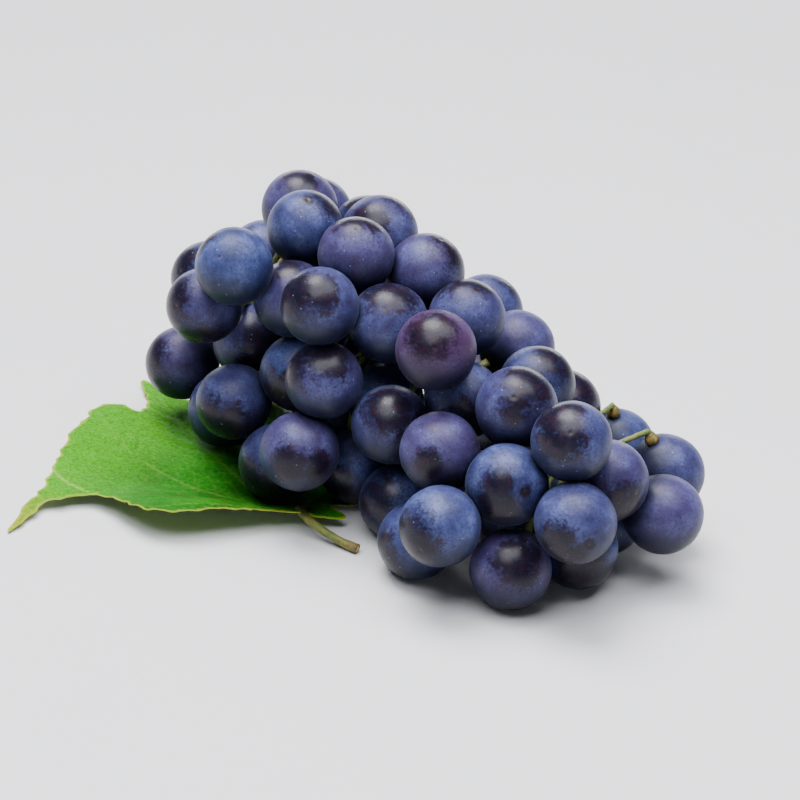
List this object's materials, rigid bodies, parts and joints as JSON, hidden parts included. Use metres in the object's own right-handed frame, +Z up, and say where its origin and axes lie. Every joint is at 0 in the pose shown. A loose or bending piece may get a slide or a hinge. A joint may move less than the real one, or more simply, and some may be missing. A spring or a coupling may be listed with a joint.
{
  "type": "bunch of grapes",
  "caption": "Bunch of round blue-black table grapes with a waxy bloom, lying on its side with a lobed vine leaf under its shoulder.",
  "frame": {"origin": "middle of the bounding box's base, on the surface that the bunch lies on", "axes": "+Z up, +X along the bunch from its shoulder and cut peduncle to its tip, the leaf towards -X and -Y"},
  "size_m": [0.1922, 0.1504, 0.0834],
  "materials": {
    "grape_skin": "dark blue-black skin under a dull blue waxy bloom, glossy where the bloom is rubbed off",
    "stalk": "green to tan fresh stalk, slightly rough",
    "leaf_blade": "bright green, slightly shiny blade with paler veins"
  },
  "bodies": {
    "root": {"back_row_shoulder": "grape_skin", "back_row_tail": "grape_skin", "base_row_middle": "grape_skin", "base_row_shoulder": "grape_skin", "base_row_tail": "grape_skin", "berry_01": "grape_skin", "berry_02": "grape_skin", "berry_03": "grape_skin", "berry_04": "grape_skin", "berry_05": "grape_skin", "berry_06": "grape_skin", "berry_07": "grape_skin", "berry_08": "grape_skin", "berry_09": "grape_skin", "berry_10": "grape_skin", "berry_11": "grape_skin", "berry_12": "grape_skin", "berry_13": "grape_skin", "berry_14": "grape_skin", "berry_15": "grape_skin", "berry_16": "grape_skin", "berry_17": "grape_skin", "berry_18": "grape_skin", "berry_19": "grape_skin", "berry_20": "grape_skin", "berry_21": "grape_skin", "berry_22": "grape_skin", "berry_23": "grape_skin", "berry_24": "grape_skin", "berry_25": "grape_skin", "berry_26": "grape_skin", "berry_27": "grape_skin", "berry_28": "grape_skin", "berry_29": "grape_skin", "berry_30": "grape_skin", "berry_31": "grape_skin", "berry_32": "grape_skin", "berry_33": "grape_skin", "berry_34": "grape_skin", "berry_35": "grape_skin", "berry_36": "grape_skin", "berry_37": "grape_skin", "berry_38": "grape_skin", "berry_39": "grape_skin", "berry_40": "grape_skin", "berry_41": "grape_skin", "berry_42": "grape_skin", "berry_43": "grape_skin", "berry_44": "grape_skin", "berry_45": "grape_skin", "berry_46": "grape_skin", "berry_47": "grape_skin", "berry_48": "grape_skin", "berry_49": "grape_skin", "berry_50": "grape_skin", "berry_51": "grape_skin", "berry_52": "grape_skin", "core_row_shoulder": "grape_skin", "stem": "stalk", "vine_leaf": "leaf_blade"}
  },
  "joints": []
}
